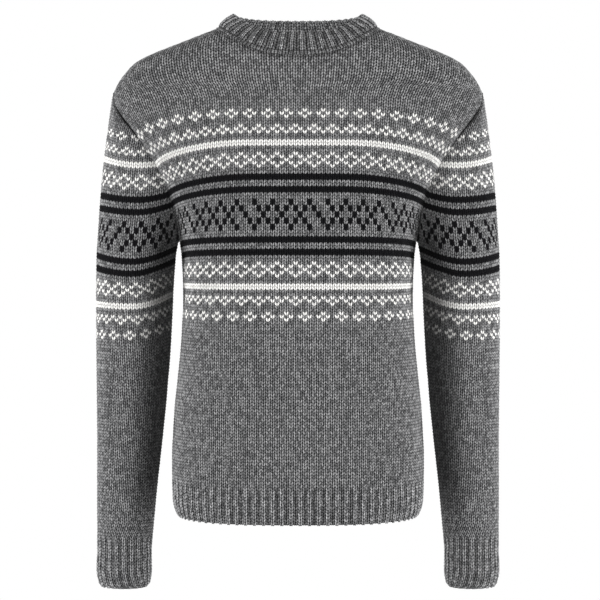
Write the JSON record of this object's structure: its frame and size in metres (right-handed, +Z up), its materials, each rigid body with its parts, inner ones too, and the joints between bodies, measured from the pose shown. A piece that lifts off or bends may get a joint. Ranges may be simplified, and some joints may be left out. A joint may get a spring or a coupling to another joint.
{
  "type": "sweater",
  "caption": "Chunky crew-neck patterned knit sweater, hollow and filled out as worn, with ribbed neckband, cuffs and hem, open at neck, hem and cuffs.",
  "frame": {"origin": "centre of the shoulder line, inside the neck opening, where a wearer's neck and shoulders hold the garment", "axes": "+Z up along the body, +X towards the garment's left sleeve, the front faces -Y"},
  "size_m": [0.5662, 0.2361, 0.7958],
  "materials": {
    "wool": "marled grey wool knit, matt, with white and black pattern yarn"
  },
  "bodies": {
    "root": {"front": "wool", "back": "wool", "sleeve_left": "wool", "sleeve_right": "wool", "neckband": "wool"}
  },
  "joints": []
}
